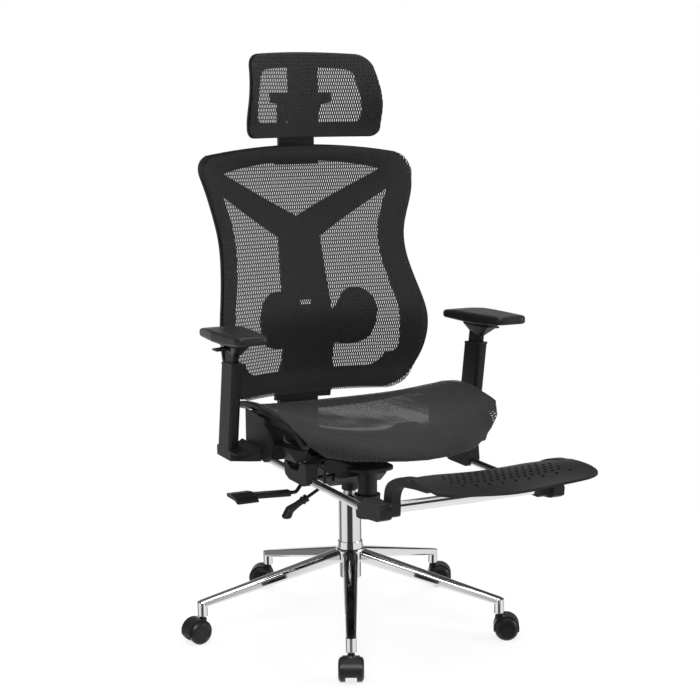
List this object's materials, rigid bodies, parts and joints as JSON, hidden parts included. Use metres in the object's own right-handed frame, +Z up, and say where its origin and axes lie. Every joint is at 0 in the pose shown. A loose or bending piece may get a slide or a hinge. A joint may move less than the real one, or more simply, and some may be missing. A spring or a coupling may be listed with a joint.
{
  "type": "reclining office chair",
  "caption": "High-backed mesh office chair on a chromed star base with casters, height-adjustable arms, tilting headrest, lumbar pad, reclining back and pull-out footrest.",
  "frame": {"origin": "on the floor, under the axis of the gas column", "axes": "+Z up, -Y the way the sitter faces, -X to the sitter's right hand"},
  "size_m": [0.7174, 1.074, 1.25],
  "materials": {
    "chrome": "polished chrome plate",
    "column_steel": "polished chrome plate",
    "piston_steel": "ground and polished",
    "mechanism_paint": "satin black powder coat",
    "lever_paint": "satin black",
    "zinc": "zinc plated",
    "bar_paint": "satin black powder coat",
    "frame_plastic": "fine-grained",
    "back_plastic": "fine-grained",
    "arm_plastic": "fine-grained",
    "grip_plastic": "moulded",
    "pad_foam": "soft-touch, fine-grained",
    "caster_plastic": "moulded nylon",
    "wheel_plastic": "semi-gloss nylon",
    "seat_net": "stretched open net",
    "back_net": "stretched open net",
    "footrest_plastic": "fine-grained"
  },
  "bodies": {
    "base": {"star_base": "chrome", "gas_column_tube": "column_steel", "column_bushing": "grip_plastic"},
    "caster_1": {"caster_hood_1": "caster_plastic", "caster_pins_1": "zinc"},
    "wheel_a_1": {"caster_wheel_a_1": "wheel_plastic"},
    "wheel_b_1": {"caster_wheel_b_1": "wheel_plastic"},
    "caster_2": {"caster_hood_2": "caster_plastic", "caster_pins_2": "zinc"},
    "wheel_a_2": {"caster_wheel_a_2": "wheel_plastic"},
    "wheel_b_2": {"caster_wheel_b_2": "wheel_plastic"},
    "caster_3": {"caster_hood_3": "caster_plastic", "caster_pins_3": "zinc"},
    "wheel_a_3": {"caster_wheel_a_3": "wheel_plastic"},
    "wheel_b_3": {"caster_wheel_b_3": "wheel_plastic"},
    "caster_4": {"caster_hood_4": "caster_plastic", "caster_pins_4": "zinc"},
    "wheel_a_4": {"caster_wheel_a_4": "wheel_plastic"},
    "wheel_b_4": {"caster_wheel_b_4": "wheel_plastic"},
    "caster_5": {"caster_hood_5": "caster_plastic", "caster_pins_5": "zinc"},
    "wheel_a_5": {"caster_wheel_a_5": "wheel_plastic"},
    "wheel_b_5": {"caster_wheel_b_5": "wheel_plastic"},
    "piston": {"gas_piston": "piston_steel"},
    "chassis": {"mechanism_housing": "mechanism_paint", "column_cup": "grip_plastic", "recline_pin": "zinc", "mechanism_bolts": "zinc", "seat_crossbars": "mechanism_paint", "seat_frame": "frame_plastic", "seat_mesh": "seat_net", "rail_brackets": "frame_plastic", "arm_sleeve_right": "arm_plastic", "arm_sleeve_left": "arm_plastic"},
    "release_pin": {"gas_release_pin": "piston_steel"},
    "gas_lever": {"gas_lever_rod": "lever_paint", "gas_lever_grip": "grip_plastic"},
    "tilt_lever": {"tilt_lever_rod": "lever_paint", "tilt_lever_handle": "grip_plastic"},
    "tension_knob": {"tension_knob": "grip_plastic"},
    "back": {"recline_bar": "bar_paint", "back_spine": "back_plastic", "back_rim": "back_plastic", "back_mesh": "back_net", "headrest_guide": "back_plastic"},
    "lumbar": {"lumbar_pad": "back_plastic"},
    "headrest_slide": {"headrest_hanger": "bar_paint"},
    "headrest": {"headrest_bracket": "back_plastic", "headrest_frame": "back_plastic", "headrest_mesh": "back_net"},
    "arm_right": {"arm_post_right": "arm_plastic"},
    "arm_trigger_right": {"arm_trigger_right": "arm_plastic"},
    "arm_pad_right": {"arm_pad_right": "pad_foam"},
    "arm_left": {"arm_post_left": "arm_plastic"},
    "arm_trigger_left": {"arm_trigger_left": "arm_plastic"},
    "arm_pad_left": {"arm_pad_left": "pad_foam"},
    "footrest_carriage": {"footrest_rails": "chrome", "footrest_corners": "footrest_plastic", "cross_tube": "chrome"},
    "footrest_pad": {"footrest_pad": "footrest_plastic"}
  },
  "joints": [
    {"name": "caster_swivel_1", "type": "hinge", "parent": "base", "child": "caster_1", "pos_m": [-0.14432, -0.30121, 0.05], "axis": [0, 0, 1], "continuous": true},
    {"name": "wheel_a_spin_1", "type": "hinge", "parent": "caster_1", "child": "wheel_a_1", "pos_m": [-0.15158, -0.31547, 0.025], "axis": [-0.891, 0.454, 0], "continuous": true},
    {"name": "wheel_b_spin_1", "type": "hinge", "parent": "caster_1", "child": "wheel_b_1", "pos_m": [-0.15158, -0.31547, 0.025], "axis": [-0.891, 0.454, 0], "continuous": true},
    {"name": "caster_swivel_2", "type": "hinge", "parent": "base", "child": "caster_2", "pos_m": [0.24187, -0.23033, 0.05], "axis": [0, 0, 1], "continuous": true},
    {"name": "wheel_a_spin_2", "type": "hinge", "parent": "caster_2", "child": "wheel_a_2", "pos_m": [0.25573, -0.23833, 0.025], "axis": [-0.5, -0.866, 0], "continuous": true},
    {"name": "wheel_b_spin_2", "type": "hinge", "parent": "caster_2", "child": "wheel_b_2", "pos_m": [0.25573, -0.23833, 0.025], "axis": [-0.5, -0.866, 0], "continuous": true},
    {"name": "caster_swivel_3", "type": "hinge", "parent": "base", "child": "caster_3", "pos_m": [0.2938, 0.15886, 0.05], "axis": [0, 0, 1], "continuous": true},
    {"name": "wheel_a_spin_3", "type": "hinge", "parent": "caster_3", "child": "wheel_a_3", "pos_m": [0.3078, 0.1511, 0.025], "axis": [-0.4848, -0.8746, 0], "continuous": true},
    {"name": "wheel_b_spin_3", "type": "hinge", "parent": "caster_3", "child": "wheel_b_3", "pos_m": [0.3078, 0.1511, 0.025], "axis": [-0.4848, -0.8746, 0], "continuous": true},
    {"name": "caster_swivel_4", "type": "hinge", "parent": "base", "child": "caster_4", "pos_m": [-0.06029, 0.32851, 0.05], "axis": [0, 0, 1], "continuous": true},
    {"name": "wheel_a_spin_4", "type": "hinge", "parent": "caster_4", "child": "wheel_a_4", "pos_m": [-0.07415, 0.33651, 0.025], "axis": [0.5, 0.866, 0], "continuous": true},
    {"name": "wheel_b_spin_4", "type": "hinge", "parent": "caster_4", "child": "wheel_b_4", "pos_m": [-0.07415, 0.33651, 0.025], "axis": [0.5, 0.866, 0], "continuous": true},
    {"name": "caster_swivel_5", "type": "hinge", "parent": "base", "child": "caster_5", "pos_m": [-0.33107, 0.04417, 0.05], "axis": [0, 0, 1], "continuous": true},
    {"name": "wheel_a_spin_5", "type": "hinge", "parent": "caster_5", "child": "wheel_a_5", "pos_m": [-0.34682, 0.0414, 0.025], "axis": [-0.1736, 0.9848, 0], "continuous": true},
    {"name": "wheel_b_spin_5", "type": "hinge", "parent": "caster_5", "child": "wheel_b_5", "pos_m": [-0.34682, 0.0414, 0.025], "axis": [-0.1736, 0.9848, 0], "continuous": true},
    {"name": "seat_height", "type": "slide", "parent": "base", "child": "piston", "axis": [0, 0, 1], "range_m": [0, 0.1]},
    {"name": "seat_swivel", "type": "hinge", "parent": "piston", "child": "chassis", "pos_m": [0, 0, 0.33], "axis": [0, 0, 1], "continuous": true},
    {"name": "release_pin_press", "type": "slide", "parent": "piston", "child": "release_pin", "axis": [0, 0, 1], "range_m": [-0.0045, 0], "stiffness_N_per_m": 1000, "springref_m": 0.002},
    {"name": "gas_lever_lift", "type": "hinge", "parent": "chassis", "child": "gas_lever", "pos_m": [-0.048, -0.045, 0.3539], "axis": [0, 1, 0], "range_deg": [0, 5], "stiffness_Nm_per_rad": 6, "springref_deg": -5.73},
    {"name": "tilt_lever_turn", "type": "hinge", "parent": "chassis", "child": "tilt_lever", "pos_m": [-0.1085, -0.108, 0.393], "axis": [0, 1, 0], "range_deg": [-6, 14]},
    {"name": "tension_knob_turn", "type": "hinge", "parent": "chassis", "child": "tension_knob", "pos_m": [0, -0.088, 0.29], "axis": [0, 0, 1], "range_deg": [-1080, 1080]},
    {"name": "back_recline", "type": "hinge", "parent": "chassis", "child": "back", "pos_m": [0, 0.09, 0.35], "axis": [-1, 0, 0], "range_deg": [0, 30], "stiffness_Nm_per_rad": 60, "springref_deg": -28.65},
    {"name": "lumbar_height", "type": "slide", "parent": "back", "child": "lumbar", "axis": [0, 0, 1], "range_m": [-0.015, 0.015]},
    {"name": "headrest_height", "type": "slide", "parent": "back", "child": "headrest_slide", "axis": [0, 0, 1], "range_m": [0, 0.03]},
    {"name": "headrest_tilt", "type": "hinge", "parent": "headrest_slide", "child": "headrest", "pos_m": [0, 0.2635, 1.124], "axis": [-1, 0, 0], "range_deg": [-5, 20]},
    {"name": "arm_height_right", "type": "slide", "parent": "chassis", "child": "arm_right", "axis": [0, -0.1736, 0.9848], "range_m": [-0.01, 0.06]},
    {"name": "arm_trigger_press_right", "type": "hinge", "parent": "arm_right", "child": "arm_trigger_right", "pos_m": [-0.296, -0.066, 0.648], "axis": [0, 1, 0], "range_deg": [0, 8], "stiffness_Nm_per_rad": 0.6, "springref_deg": -5.73},
    {"name": "arm_pad_pivot_right", "type": "hinge", "parent": "arm_right", "child": "arm_pad_right", "pos_m": [-0.29, -0.066, 0.655], "axis": [0, 0, 1], "range_deg": [-15, 15]},
    {"name": "arm_height_left", "type": "slide", "parent": "chassis", "child": "arm_left", "axis": [0, -0.1736, 0.9848], "range_m": [-0.01, 0.06]},
    {"name": "arm_trigger_press_left", "type": "hinge", "parent": "arm_left", "child": "arm_trigger_left", "pos_m": [0.296, -0.066, 0.648], "axis": [0, -1, 0], "range_deg": [0, 8], "stiffness_Nm_per_rad": 0.6, "springref_deg": -5.73},
    {"name": "arm_pad_pivot_left", "type": "hinge", "parent": "arm_left", "child": "arm_pad_left", "pos_m": [0.29, -0.066, 0.655], "axis": [0, 0, 1], "range_deg": [-15, 15]},
    {"name": "footrest_slide", "type": "slide", "parent": "chassis", "child": "footrest_carriage", "axis": [0, 1, 0], "range_m": [0, 0.12]},
    {"name": "footrest_flip", "type": "hinge", "parent": "footrest_carriage", "child": "footrest_pad", "pos_m": [0, -0.51, 0.403], "axis": [1, 0, 0], "range_deg": [0, 180]}
  ],
  "couplings": [
    {"joint": "release_pin_press", "follows": "gas_lever_lift", "m_per_rad": -0.048}
  ]
}
